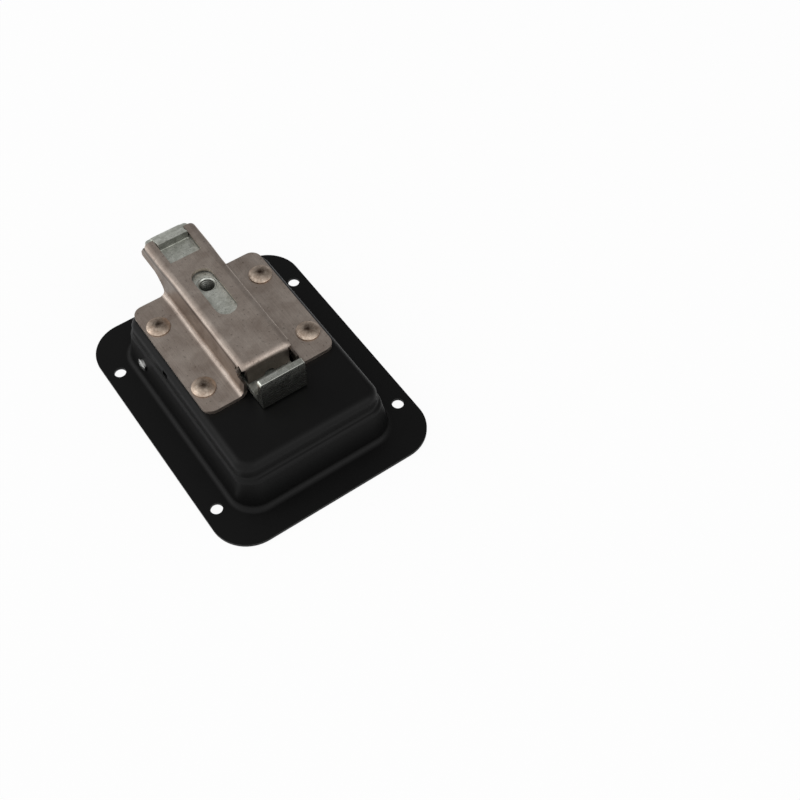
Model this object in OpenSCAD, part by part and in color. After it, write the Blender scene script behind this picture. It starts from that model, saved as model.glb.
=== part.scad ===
// Paddle handle latch seen from its rear, lying face down: pressed pan, hinged paddle and sprung slide bolt.
// X runs across the latch, Y towards the bolt's nose, Z from the front face to the rear.

/* [Flange] */
// Width of the flange
flange_w = 108; // [104:1:120]
// Length of the flange
flange_l = 140; // [136:1:156]
// Radius of the flange corners
flange_r = 17.5; // [8:0.5:22]
// Sheet thickness of the pan
pan_t = 1.5; // [1:0.1:2]
// Distance of the mounting holes from the flange's sides
hole_edge_x = 6.4; // [5:0.1:7]
// Distance of the mounting holes from the flange's ends
hole_edge_y = 25.55; // [20:0.05:30]
// Diameter of the mounting holes
hole_d = 5.5; // [4:0.1:7]

/* [Dish] */
// Width of the flange beside the dish
rim_side = 13.9; // [12.5:0.1:15]
// Width of the flange at the ends of the dish
rim_end = 13.1; // [12:0.1:15]
// Offset of the dish towards the nose
dish_y = 0.5; // [0:0.1:1.5]
// Corner radius of the dish where it leaves the flange
dish_r = 12; // [9:0.5:16]
// Radius from the flange into the dish wall
foot_r = 3; // [2:0.1:4]
// Height of the first step above the front face
step_h = 18.5; // [16:0.1:20]
// Inward lean of the first wall over its height
step_in = 3.3; // [1:0.1:4]
// Edge radius of the first step
step_edge_r = 2; // [1.6:0.1:3]
// Width of the step at the sides of the pocket
ledge_side = 0.6; // [0.3:0.1:1.2]
// Width of the step at the ends of the pocket
ledge_end = 1.7; // [1:0.1:2.5]
// Offset of the pocket from the dish towards the nose
pocket_shift = 0.5; // [0:0.1:0.8]
// Corner radius of the pocket
pocket_r = 8; // [6:0.1:10]
// Height of the pocket's flat top above the front face
pocket_h = 26.3; // [25:0.1:30]
// Inward lean of the second wall over its height
pocket_in = 0.5; // [0.2:0.1:1]
// Edge radius of the flat top
pocket_edge_r = 4; // [2:0.1:5]
// Length of the small notch in each pocket wall
notch_l = 4; // [2:0.5:6]
// Height of the small notch in each pocket wall
notch_h = 3; // [2:0.5:4]
// Place of the notches along the latch
notch_y = 15.5; // [5:0.5:20]

/* [Housing] */
// Sheet thickness of the bolt housing
housing_t = 2; // [1.5:0.1:2.2]
// Inner bend radius of the channel's top and of the end tab
bend_r = 1.4; // [1:0.1:2]
// Radius from the channel's walls into the wings
wing_bend_r = 3; // [2:0.1:4]
// Distance of the wings from the pocket's sides
wing_in = 3.3; // [2:0.1:5]
// Distance of the wings from the pocket's nose end
wing_end = 1.5; // [0:0.1:4]
// Length of the wings
wing_l = 69.3; // [66:0.1:72]
// Corner radius of the wings
wing_r = 5; // [3:0.5:8]
// Outer width of the channel
channel_w = 27; // [25:0.1:28]
// Height of the channel above the pan
channel_h = 15.7; // [15.2:0.1:18]
// Reach of the channel beyond the wings
nose_l = 19.3; // [18:0.1:22]
// Wall height left at the nose
nose_h = 6.5; // [5.8:0.1:7]
// Corner radius of the nose end
nose_r = 3; // [2:0.1:4]
// Width of the window at the nose
window_w = 16; // [14:0.1:17]
// Length of the window at the nose
window_l = 16.2; // [16:0.1:18]
// Width of the slot over the thread
slot_w = 10.2; // [9.6:0.1:12]
// Reach of the slot ahead of the thread
slot_ahead = 8; // [6:0.1:9]
// Reach of the slot behind the thread's drawn place
slot_behind = 11.5; // [6:0.1:13]
// Distance of the folded end tab from the wings' tail edge
tab_back = 2.4; // [1.5:0.1:4]
// Distance of the end tab's sides from the channel's sides
tab_side = 3.1; // [3:0.1:5]
// Height of the side walls beside the tab
cheek_h = 7; // [5:0.5:9]
// Radius of the relief holes beside the tab
relief_r = 1.6; // [1:0.1:2]
// Radius of the notch in the tab that shows the spring
tab_notch_r = 2.6; // [1:0.1:3]

/* [Rivets] */
// Distance of the rivets from the wings' sides
rivet_in = 6.2; // [6:0.1:8]
// Distance of the tail rivets from the wings' tail edge
rivet_tail_in = 13.5; // [8:0.1:18]
// Distance of the nose rivets from the wings' nose edge
rivet_nose_in = 15; // [8:0.1:18]
// Shank diameter
rivet_d = 5.5; // [4:0.1:6]
// Diameter of the domed head
rivet_head_d = 11; // [9:0.2:12]
// Height of the domed head
rivet_head_h = 2.2; // [1.5:0.1:3]
// Height of the straight rim under the dome
rivet_rim_h = 0.6; // [0.3:0.1:1]
// Height of the clinched end inside the pan
rivet_tail_h = 1.6; // [1:0.1:2.5]

/* [Bolt] */
// Thickness of the bolt strip
bolt_t = 3; // [2.5:0.1:3.2]
// Side clearance of the strip in the channel
bolt_side = 0.4; // [0.3:0.05:0.6]
// Clearance above and below the strip
bolt_gap = 0.5; // [0.4:0.05:0.8]
// Clearance of the tail strip above the pan
tail_gap = 0.7; // [0.5:0.1:1.4]
// Travel of the bolt
travel = 11; // [9:0.5:11.5]
// Reach of the nose beyond the channel
nose_out = 4.9; // [4.5:0.1:7]
// Length of the ramp at the nose
ramp_l = 9.3; // [8:0.1:9.5]
// Height of the ramp above the channel
ramp_h = 1.6; // [1:0.1:1.8]
// Fall of the ramp towards its end
ramp_fall = 3.8; // [3:0.1:3.9]
// Room for the spring between the end tab and the strip's joggle
spring_l = 21.5; // [20:0.1:23]
// Distance of the upright tail lug behind the end tab
lug_back = 13; // [12:0.1:16]
// Height of the tail lug above the channel
lug_h = 1.9; // [0:0.1:3]
// Corner radius of the tail lug
lug_r = 1.5; // [0.5:0.1:3]
// Thread core diameter in the bush
thread_d = 6.8; // [5:0.1:7]
// Diameter of the thread's chamfer
chamfer_d = 8; // [7.4:0.1:8.4]
// Distance of the threaded bush ahead of the hinge pin
bush_ahead = 0.7; // [0:0.1:1.2]
// Spigot diameter of the bush in the strip
spigot_d = 9; // [8.8:0.1:9.4]
// Collar diameter of the bush below the strip
bush_d = 13; // [12:0.5:14]
// Length of the collar
bush_l = 5.9; // [5:0.1:6.2]

/* [Springs] */
// Wire diameter of both springs
wire_d = 1.2; // [1:0.1:1.3]
// Outer diameter of the bolt spring
coil_d = 8; // [7:0.1:8.2]
// Turns of the bolt spring
coil_turns = 6.5; // [5:0.5:7]
// Mean radius of the paddle spring
torsion_r = 3.9; // [3.7:0.1:4.5]
// Whole turns of the paddle spring
torsion_turns = 4; // [3:1:5]
// Inner end of the paddle spring along the pin
torsion_x = 12; // [10:0.5:14]

/* [Paddle] */
// Sheet thickness of the paddle
paddle_t = 2; // [1.5:0.1:2]
// Clearance between the paddle's hinge ears and the dish's wall
paddle_side = 0.7; // [0.5:0.1:2]
// Gap for the fingers between the paddle and the dish's end
finger_gap = 16.4; // [14:0.1:22]
// Depth of the paddle's face behind the flange face
paddle_z = 0.6; // [0.3:0.1:1.5]
// Height of the paddle's rim
rim_h = 7; // [5:0.5:8]
// Corner radius of the paddle
paddle_r = 7; // [5:0.5:9]
// Edge radius of the paddle's face
paddle_edge_r = 3; // [2.2:0.1:3.5]
// Radius of the hinge ears
ear_r = 5; // [4.5:0.1:5.5]
// Width of the arm that draws the bolt
arm_w = 10; // [8:0.5:11]
// Running gap between arm and bush
arm_gap = 0.3; // [0.2:0.05:0.5]
// Room round the arm in the pan
arm_room = 1; // [0.8:0.1:1.5]
// Largest swing of the paddle in degrees
swing = 25.5; // [20:0.5:26]

/* [Hinge pin] */
// Diameter of the hinge pin
pin_d = 5; // [4:0.1:5.4]
// Distance of the pin from the pocket's nose end
pin_back = 17.1; // [16.5:0.1:18]
// Height of the pin above the front face
pin_z = 10; // [9:0.1:11]
// Diameter of the peened pin ends
pin_head_d = 6.4; // [6:0.1:7]
// Thickness of the peened pin ends
pin_head_t = 1; // [0.6:0.1:1.5]
// Radial clearance of pins, shanks and spigots in their holes
pin_clear = 0.05; // [0.02:0.01:0.08]

/* [Hidden] */
$fn = 64;
// Number of straight pieces that stand for a fillet's arc
arc_n = 6;
// Overlap of cutting bodies past the faces they cut
cut = 1;

// Sizes that follow from the flange, each through its named distance
hole_dx = flange_w - 2*hole_edge_x;
hole_dy = flange_l - 2*hole_edge_y;
dish_w = flange_w - 2*rim_side;
dish_l = flange_l - 2*rim_end;
pocket_w = dish_w - 2*step_in - 2*ledge_side;
pocket_l = dish_l - 2*step_in - 2*ledge_end;
pocket_y = dish_y + pocket_shift;
wing_w = pocket_w - 2*wing_in;
rivet_dx = wing_w - 2*rivet_in;
tab_w = channel_w - 2*tab_side;
bolt_w = channel_w - 2*housing_t - 2*bolt_side;
step_lean = atan(step_in/step_h);
pocket_lean = atan(pocket_in/(pocket_h - step_h));
paddle_w = dish_w - 2*((pin_z + ear_r)*tan(step_lean) + pan_t/cos(step_lean) + paddle_side);

// Heights
top_z = pocket_h + channel_h;
wing_z = pocket_h + housing_t;
bend_out = bend_r + housing_t;
plate_z1 = top_z - housing_t - bolt_gap;
plate_z0 = plate_z1 - bolt_t;
tail_z0 = pocket_h + tail_gap;
tail_z1 = tail_z0 + bolt_t;
tab_z0 = tail_z1 + bolt_gap;
lug_z1 = top_z + lug_h;
spring_z = (tail_z1 + top_z - housing_t)/2;

// Places along the latch, counted from the pocket's nose end
base_y = pocket_y + pocket_l/2;
wing_y1 = base_y - wing_end;
wing_y0 = wing_y1 - wing_l;
nose_y = wing_y1 + nose_l;
rivet_y0 = wing_y0 + rivet_tail_in;
rivet_y1 = wing_y1 - rivet_nose_in;
pin_y = base_y - pin_back;
bush_y = pin_y + bush_ahead;
slot_y0 = bush_y - travel - slot_behind;
slot_y1 = bush_y + slot_ahead;
tab_y = wing_y0 + tab_back;
joggle_y = tab_y + housing_t + spring_l;
lug_y = tab_y - lug_back;
bolt_y1 = nose_y + nose_out;
arm_y0 = bush_y + bush_d/2 + arm_gap;
arm_y1 = arm_y0 + paddle_t;
paddle_y0 = dish_y - dish_l/2 + finger_gap;
bolt_in = 1;
bolt_out = bolt_in + bolt_t;

// Highest point of the arm that stays under the strip when the paddle is open
arm_z1 = pin_z + (plate_z0 - bolt_gap - pin_z - (arm_y1 - pin_y)*sin(swing))/cos(swing);
// Tail edge of the arm in the plane of the pan's flat top, with the paddle open
arm_open_y = pin_y + (arm_y0 - pin_y)/cos(swing) - (pocket_h - pin_z)*tan(swing);

function arc(c, r, a0, a1) =
    [for (i = [0:arc_n]) let (a = a0 + (a1 - a0)*i/arc_n) c + r*[cos(a), sin(a)]];

// Half section of the first step: distance from the corner centres against height, drawn in by the offset.
function step_section(inset) =
    let (lean = step_lean,
         foot = [dish_r - (pan_t + foot_r)*tan(lean) + foot_r/cos(lean), pan_t + foot_r],
         edge_z = step_h - step_edge_r,
         edge = [dish_r - edge_z*tan(lean) - step_edge_r/cos(lean), edge_z],
         base = inset > 0 ? -cut : 0)
    concat([[0, base], [foot[0], base]],
           arc(foot, foot_r + inset, 270, 180 + lean),
           arc(edge, step_edge_r - inset, lean, 90),
           [[0, step_h - inset]]);

// Half section of the pocket, from the middle of the first step up to its flat top.
function pocket_section(inset) =
    let (lean = pocket_lean,
         base = step_h/2,
         edge_z = pocket_h - pocket_edge_r,
         edge = [pocket_r - (edge_z - step_h)*tan(lean) - pocket_edge_r/cos(lean), edge_z],
         wall = pocket_r - (base - step_h)*tan(lean) - inset/cos(lean))
    concat([[0, base], [wall, base]],
           arc(edge, pocket_edge_r - inset, lean, 90),
           [[0, pocket_h - inset]]);

// Half section of the paddle's face and rim, open towards the rear.
function paddle_section(inset) =
    let (edge = [paddle_r - paddle_edge_r, paddle_z + paddle_edge_r],
         top = paddle_z + rim_h + (inset > 0 ? cut : 0))
    concat([[0, paddle_z + inset]],
           arc(edge, paddle_edge_r - inset, 270, 360),
           [[paddle_r - inset, top], [0, top]]);

// Solid swept round a rectangle with rounded corners from a half section.
module swept(w, l, r, section) {
    cx = w/2 - r;
    cy = l/2 - r;
    z0 = min([for (p = section) p[1]]);
    z1 = max([for (p = section) p[1]]);
    for (q = [[1, 1, 0], [-1, 1, 90], [-1, -1, 180], [1, -1, 270]])
        translate([q[0]*cx, q[1]*cy, 0]) rotate(q[2])
            rotate_extrude(angle = 90) polygon(section);
    for (s = [0, 1])
        rotate(180*s) {
            translate([cx, cy, 0]) rotate([90, 0, 0]) linear_extrude(2*cy) polygon(section);
            translate([-cx, cy, 0]) rotate([90, 0, 90]) linear_extrude(2*cx) polygon(section);
        }
    translate([-cx, -cy, z0]) cube([2*cx, 2*cy, z1 - z0]);
}

module rounded_rect(w, l, r) {
    square([w - 2*r, l], center = true);
    square([w, l - 2*r], center = true);
    for (x = [-1, 1], y = [-1, 1])
        translate([x*(w/2 - r), y*(l/2 - r)]) circle(r);
}

// Quarter of a ring that stands for a bend: inner and outer radius, turned by quarters.
module bend(r0, r1, quarter) {
    rotate(90*quarter) intersection() {
        difference() {
            circle(r1);
            circle(r0);
        }
        square(r1);
    }
}

// Shape drawn in the (Y, Z) plane and spread evenly across X.
module across(w) {
    translate([-w/2, 0, 0]) rotate([90, 0, 90]) linear_extrude(w) children();
}

// Shape drawn in the (X, Z) plane and spread along Y.
module along(y0, y1) {
    translate([0, y1, 0]) rotate([90, 0, 0]) linear_extrude(y1 - y0) children();
}

module at_rivets() {
    for (x = [-rivet_dx/2, rivet_dx/2], y = [rivet_y0, rivet_y1])
        translate([x, y, 0]) children();
}

module pin_bore(r) {
    translate([-flange_w/2, pin_y, pin_z]) rotate([0, 90, 0]) cylinder(r = r, h = flange_w);
}

module pan() color("#1d1d1d") difference() {
    union() {
        linear_extrude(pan_t) rounded_rect(flange_w, flange_l, flange_r);
        translate([0, dish_y, 0]) swept(dish_w, dish_l, dish_r, step_section(0));
        translate([0, pocket_y, 0]) swept(pocket_w, pocket_l, pocket_r, pocket_section(0));
    }
    translate([0, dish_y, 0]) swept(dish_w, dish_l, dish_r, step_section(pan_t));
    translate([0, pocket_y, 0]) swept(pocket_w, pocket_l, pocket_r, pocket_section(pan_t));
    for (x = [-hole_dx/2, hole_dx/2], y = [-hole_dy/2, hole_dy/2])
        translate([x, y, -cut]) cylinder(d = hole_d, h = pan_t + 2*cut);
    at_rivets() translate([0, 0, pocket_h - pan_t - cut])
        cylinder(r = rivet_d/2 + pin_clear, h = pan_t + 2*cut);
    pin_bore(pin_d/2 + pin_clear);
    // Opening for the arm over its whole swing
    translate([-arm_w/2 - arm_room, arm_open_y - arm_room, pocket_h - pan_t - cut])
        cube([arm_w + 2*arm_room, arm_y1 - arm_open_y + arm_room + arm_gap, pan_t + 2*cut]);
    // Small notches under the flat top's edge
    translate([-pocket_w/2 - cut, notch_y - notch_l/2, pocket_h - pocket_edge_r - notch_h/2])
        cube([pocket_w + 2*cut, notch_l, notch_h]);
}

// Hat section of the housing in the (X, Z) plane.
module hat() {
    flat = channel_w/2 - bend_out;
    translate([-flat, top_z - housing_t]) square([2*flat, housing_t]);
    for (m = [0, 1]) mirror([m, 0]) {
        translate([flat, top_z - bend_out]) bend(bend_r, bend_out, 0);
        translate([channel_w/2 - housing_t, wing_z + wing_bend_r])
            square([housing_t, top_z - bend_out - wing_z - wing_bend_r]);
        translate([channel_w/2 + wing_bend_r, wing_z + wing_bend_r])
            bend(wing_bend_r, wing_bend_r + housing_t, 2);
        translate([channel_w/2 + wing_bend_r, pocket_h])
            square([wing_w/2 - channel_w/2 - wing_bend_r, housing_t]);
    }
}

// Side view of what is cut away below the nose: a quarter round that runs from the wings up to the low wall.
module nose_sweep() {
    r = top_z - nose_h - wing_z;
    translate([wing_y1 + r, wing_z]) circle(r);
    translate([wing_y1 + r, wing_z]) square([nose_y + cut - wing_y1 - r, r]);
    translate([wing_y1, pocket_h - cut]) square([nose_y + cut - wing_y1, housing_t + cut]);
}

module bolt_housing() color("#82786f") {
    tail_y = tab_y + bend_out;
    cheek_z = wing_z + cheek_h;
    difference() {
        intersection() {
            along(wing_y0, nose_y) hat();
            linear_extrude(top_z + cut) {
                translate([0, (wing_y0 + wing_y1)/2]) rounded_rect(wing_w, wing_y1 - wing_y0, wing_r);
                translate([0, (wing_y0 + nose_y)/2]) rounded_rect(channel_w, nose_y - wing_y0, nose_r);
            }
        }
        across(channel_w + 2*cut) nose_sweep();
        // Window and slot in the top
        translate([-window_w/2, nose_y - window_l, top_z - housing_t - cut])
            cube([window_w, window_l + cut, housing_t + 2*cut]);
        translate([0, 0, top_z - housing_t - cut]) linear_extrude(housing_t + 2*cut) {
            for (y = [slot_y0 + slot_w/2, slot_y1 - slot_w/2]) translate([0, y]) circle(d = slot_w);
            translate([-slot_w/2, slot_y0 + slot_w/2]) square([slot_w, slot_y1 - slot_y0 - slot_w]);
        }
        // Room for the folded tab and its reliefs
        translate([-channel_w/2 - cut, wing_y0 - cut, cheek_z])
            cube([channel_w + 2*cut, tail_y - wing_y0 + cut, top_z - cheek_z + cut]);
        for (x = [-1, 1])
            translate([x*(channel_w/2 + cut), tail_y, top_z - bend_out]) rotate([0, -90*x, 0])
                cylinder(r = relief_r, h = channel_w/2 + cut - tab_w/2);
        at_rivets() translate([0, 0, pocket_h - cut])
            cylinder(r = rivet_d/2 + pin_clear, h = housing_t + 2*cut);
    }
    // Folded end tab with its bend
    difference() {
        across(tab_w) {
            translate([tail_y, top_z - bend_out]) bend(bend_r, bend_out, 1);
            translate([tab_y, tab_z0]) square([housing_t, top_z - bend_out - tab_z0]);
        }
        translate([0, tab_y - cut, tab_z0]) rotate([-90, 0, 0])
            cylinder(r = tab_notch_r, h = housing_t + 2*cut);
    }
}

module housing_rivets() color("#c4b49f") at_rivets() {
    crown = rivet_head_h - rivet_rim_h;
    dome_r = (pow(rivet_head_d/2, 2) + pow(crown, 2))/(2*crown);
    rotate_extrude() {
        translate([0, wing_z]) square([rivet_head_d/2, rivet_rim_h]);
        intersection() {
            translate([0, wing_z + rivet_head_h - dome_r]) circle(dome_r);
            translate([0, wing_z + rivet_rim_h]) square([rivet_head_d/2, crown]);
        }
    }
    translate([0, 0, pocket_h - pan_t - rivet_tail_h])
        cylinder(d = rivet_d, h = wing_z - pocket_h + pan_t + rivet_tail_h);
    translate([0, 0, pocket_h - pan_t - rivet_tail_h])
        cylinder(d1 = rivet_d + rivet_tail_h, d2 = rivet_d + 2*rivet_tail_h, h = rivet_tail_h);
}

// Side view of the bolt strip: upper plate, joggle, tail strip and upright lug.
module bolt_strip() {
    translate([joggle_y + bolt_out, plate_z0]) square([bolt_y1 - joggle_y - bolt_out, bolt_t]);
    translate([joggle_y + bolt_out, plate_z0 - bolt_in]) bend(bolt_in, bolt_out, 1);
    translate([joggle_y, tail_z1 + bolt_in]) square([bolt_t, plate_z0 - tail_z1 - 2*bolt_in]);
    translate([joggle_y - bolt_in, tail_z1 + bolt_in]) bend(bolt_in, bolt_out, 3);
    translate([lug_y + bolt_out, tail_z0]) square([joggle_y - bolt_in - lug_y - bolt_out, bolt_t]);
    translate([lug_y + bolt_out, tail_z1 + bolt_in]) bend(bolt_in, bolt_out, 2);
    translate([lug_y, tail_z1 + bolt_in]) square([bolt_t, lug_z1 - tail_z1 - bolt_in]);
}

module latch_bolt() color("#a2a49c") difference() {
    union() {
        across(bolt_w) bolt_strip();
        // Ramp on the nose, guided by the window
        across(window_w - 2*bolt_side)
            polygon([[bolt_y1 - ramp_l, plate_z0], [bolt_y1, plate_z0],
                     [bolt_y1, top_z + ramp_h - ramp_fall], [bolt_y1 - ramp_l, top_z + ramp_h]]);
    }
    translate([0, bush_y, plate_z0 - cut])
        cylinder(r = spigot_d/2 + pin_clear, h = bolt_t + 2*cut);
    // Rounded top corners of the lug
    for (m = [0, 1]) mirror([m, 0, 0]) along(lug_y - cut, lug_y + bolt_t + cut) difference() {
        translate([bolt_w/2 - lug_r, lug_z1 - lug_r]) square(lug_r + cut);
        translate([bolt_w/2 - lug_r, lug_z1 - lug_r]) circle(lug_r);
    }
}

module thread_bush() color("#b4b6b0") translate([0, bush_y, 0]) {
    spigot_l = bolt_t - pin_clear;
    chamfer_h = (chamfer_d - thread_d)/2;
    rotate_extrude() polygon([
        [thread_d/2, plate_z0 - bush_l], [bush_d/2, plate_z0 - bush_l], [bush_d/2, plate_z0],
        [spigot_d/2, plate_z0], [spigot_d/2, plate_z0 + spigot_l],
        [chamfer_d/2, plate_z0 + spigot_l], [thread_d/2, plate_z0 + spigot_l - chamfer_h]]);
}

// Tube of round wire along stations [centre, first normal, second normal].
module wire(stations, r) {
    sides = 8;
    n = len(stations);
    points = [for (s = stations, k = [0:sides - 1])
        let (a = 360*k/sides) s[0] + r*cos(a)*s[1] + r*sin(a)*s[2]];
    quads = [for (i = [0:n - 2], k = [0:sides - 1])
        [i*sides + k, i*sides + (k + 1)%sides, (i + 1)*sides + (k + 1)%sides, (i + 1)*sides + k]];
    caps = [[for (k = [sides - 1:-1:0]) k], [for (k = [0:sides - 1]) (n - 1)*sides + k]];
    polyhedron(points, concat(quads, caps));
}

// Place along the latch of a turn of the bolt spring: one closed turn at each end, an even pitch between.
function coil_place(t, y0, y1) =
    let (closed = wire_d*1.1, pitch = (y1 - y0 - 2*closed)/(coil_turns - 2))
    t < 1 ? y0 + closed*t
    : t > coil_turns - 1 ? y1 - closed*(coil_turns - t)
    : y0 + closed + pitch*(t - 1);

module bolt_spring() color("#8d9092") {
    steps = 24;
    r = (coil_d - wire_d)/2;
    y0 = tab_y + housing_t + wire_d/2 + pin_clear;
    y1 = joggle_y - wire_d/2 - pin_clear;
    wire([for (i = [0:steps*coil_turns])
        let (t = i/steps, a = -90 - 360*t, out = [cos(a), 0, sin(a)])
        [[0, coil_place(t, y0, y1), spring_z] + r*out, out, [0, 1, 0]]], wire_d/2);
}

module paddle() color("#232323") {
    face_l = arm_y1 - paddle_y0;
    mid_y = (arm_y1 + paddle_y0)/2;
    arm_out = paddle_edge_r;
    difference() {
        union() {
            translate([0, mid_y, 0]) difference() {
                swept(paddle_w, face_l, paddle_r, paddle_section(0));
                swept(paddle_w, face_l, paddle_r, paddle_section(paddle_t));
            }
            // Hinge ears on the two side rims
            for (m = [0, 1]) mirror([m, 0, 0]) translate([paddle_w/2 - paddle_t/2, 0, 0])
                across(paddle_t) {
                    translate([pin_y, pin_z]) circle(ear_r);
                    translate([pin_y - ear_r, paddle_z + paddle_edge_r])
                        square([2*ear_r, pin_z - paddle_z - paddle_edge_r]);
                }
            // Arm that rises from the hinge end of the rim
            translate([-arm_w/2, arm_y0, paddle_z + arm_out])
                cube([arm_w, paddle_t, arm_z1 - paddle_z - arm_out]);
        }
        pin_bore(pin_d/2 + pin_clear);
    }
}

module hinge_pin() color("#b9bbbc") {
    head_x = dish_w/2 - (pin_z - pin_head_d/2)*tan(step_lean) + 2*pin_clear;
    for (m = [0, 1]) mirror([m, 0, 0]) translate([0, pin_y, pin_z]) rotate([0, 90, 0]) {
        cylinder(d = pin_d, h = head_x + pin_head_t/2);
        translate([0, 0, head_x]) cylinder(d1 = pin_head_d, d2 = pin_d, h = pin_head_t);
    }
}

// Station of the paddle spring at an angle about the pin, moved ahead along its tangent.
function torsion_station(a, a0, ahead) =
    let (out = [0, cos(a), sin(a)], x = -torsion_x - 1.1*wire_d*(a - a0)/360)
    [[x, pin_y, pin_z] + torsion_r*out + ahead*[0, -sin(a), cos(a)], [-1, 0, 0], out];

module paddle_spring() color("#8d9092") {
    steps = 20*torsion_turns;
    a0 = -80;
    a1 = 30 + 360*torsion_turns;
    // Legs end just short of the paddle's face and of the pan's flat top
    leg0 = (pin_z + torsion_r*sin(a0) - paddle_z - paddle_t - wire_d/2 - arm_gap)/cos(a0);
    leg1 = (pocket_h - pan_t - wire_d/2 - arm_gap - pin_z - torsion_r*sin(a1))/cos(a1);
    turns = [for (i = [0:steps]) torsion_station(a0 + (a1 - a0)*i/steps, a0, 0)];
    wire(concat([torsion_station(a0, a0, -leg0)], turns, [torsion_station(a1, a0, leg1)]), wire_d/2);
}

pan();
bolt_housing();
housing_rivets();
latch_bolt();
thread_bush();
bolt_spring();
paddle();
hinge_pin();
paddle_spring();
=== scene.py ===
import math

import bmesh
import bpy
from mathutils import Matrix, Vector


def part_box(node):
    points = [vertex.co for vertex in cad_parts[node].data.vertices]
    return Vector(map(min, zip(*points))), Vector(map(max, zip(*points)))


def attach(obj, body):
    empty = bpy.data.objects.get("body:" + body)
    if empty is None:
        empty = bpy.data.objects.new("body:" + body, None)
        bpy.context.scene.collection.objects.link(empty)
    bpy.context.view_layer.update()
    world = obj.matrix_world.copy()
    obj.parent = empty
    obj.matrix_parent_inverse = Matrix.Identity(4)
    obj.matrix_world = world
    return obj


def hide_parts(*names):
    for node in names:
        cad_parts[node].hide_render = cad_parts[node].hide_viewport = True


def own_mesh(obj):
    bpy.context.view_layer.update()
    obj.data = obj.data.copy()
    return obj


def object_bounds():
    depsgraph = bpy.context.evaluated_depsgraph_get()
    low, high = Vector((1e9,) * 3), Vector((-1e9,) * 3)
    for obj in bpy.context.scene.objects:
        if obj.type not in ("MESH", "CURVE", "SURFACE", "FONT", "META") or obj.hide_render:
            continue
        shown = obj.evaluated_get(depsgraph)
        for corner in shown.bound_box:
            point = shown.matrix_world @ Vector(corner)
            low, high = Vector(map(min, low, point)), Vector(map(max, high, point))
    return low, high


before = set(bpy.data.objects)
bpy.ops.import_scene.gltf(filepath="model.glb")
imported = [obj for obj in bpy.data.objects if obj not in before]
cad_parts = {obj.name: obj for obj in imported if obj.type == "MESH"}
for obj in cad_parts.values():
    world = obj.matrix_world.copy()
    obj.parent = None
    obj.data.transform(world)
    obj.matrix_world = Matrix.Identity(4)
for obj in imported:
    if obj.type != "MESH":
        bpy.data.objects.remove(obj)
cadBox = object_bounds()
mm = 0.001
print("frame loaded:", ", ".join(sorted(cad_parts)))


def nodeBox(name):
    # lowest and highest corner of a CAD node in millimetres
    low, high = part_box(name)
    return Vector(low) / mm, Vector(high) / mm


def hexColour(code):
    # sRGB hex to the linear colour that sockets take
    def linear(value):
        return value / 12.92 if value <= 0.04045 else ((value + 0.055) / 1.055) ** 2.4
    return tuple(linear(int(code[i:i + 2], 16) / 255) for i in (1, 3, 5)) + (1.0,)


def addNode(tree, kind, settings={}, links={}):
    node = tree.nodes.new(kind)
    for key, value in settings.items():
        if isinstance(key, str) and hasattr(node, key):
            setattr(node, key, value)
        else:
            node.inputs[key].default_value = value
    for key, socket in links.items():
        tree.links.new(socket, node.inputs[key])
    return node


# mesh helpers: everything is modelled in millimetres and scaled to metres once, in makeObject

def makeObject(name, bm):
    bmesh.ops.scale(bm, vec=(mm, mm, mm), verts=bm.verts)
    mesh = bpy.data.meshes.new(name)
    bm.to_mesh(mesh)
    bm.free()
    piece = bpy.data.objects.new(name, mesh)
    bpy.context.collection.objects.link(piece)
    return piece


def applyModifiers(piece):
    graph = bpy.context.evaluated_depsgraph_get()
    mesh = bpy.data.meshes.new_from_object(piece.evaluated_get(graph))
    piece.modifiers.clear()
    old, piece.data = piece.data, mesh
    mesh.name = piece.name
    bpy.data.meshes.remove(old)


def thicken(piece, thickness):
    # sheet grows from its modelled outer face to the other side
    wall = piece.modifiers.new("sheet", "SOLIDIFY")
    wall.thickness = thickness * mm
    wall.offset = -1
    wall.use_even_offset = True
    applyModifiers(piece)


def combine(piece, bm, operation):
    tool = makeObject(piece.name + "Tool", bm)
    mod = piece.modifiers.new("combine", "BOOLEAN")
    mod.operation = operation
    mod.object = tool
    mod.solver = "EXACT"
    mod.use_self = True
    applyModifiers(piece)
    mesh = tool.data
    bpy.data.objects.remove(tool)
    bpy.data.meshes.remove(mesh)


def finishPiece(piece, material, body, nodes, edge=0.25, sharp=32):
    bm = bmesh.new()
    bm.from_mesh(piece.data)
    bmesh.ops.remove_doubles(bm, verts=bm.verts, dist=0.004 * mm)
    bmesh.ops.dissolve_degenerate(bm, edges=bm.edges, dist=0.004 * mm)
    bm.to_mesh(piece.data)
    bm.free()
    piece.data.shade_smooth()
    piece.data.set_sharp_from_angle(angle=math.radians(sharp))
    if edge:
        rim = piece.modifiers.new("edges", "BEVEL")
        rim.width = edge * mm
        rim.segments = 3
        rim.limit_method = "ANGLE"
        rim.angle_limit = math.radians(sharp)
        rim.miter_outer = "MITER_ARC"
        rim.harden_normals = True
    even = piece.modifiers.new("normals", "WEIGHTED_NORMAL")
    even.keep_sharp = True
    piece.data.materials.clear()
    piece.data.materials.append(material)
    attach(piece, body)
    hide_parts(*nodes)
    print("piece ready:", piece.name)


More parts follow.
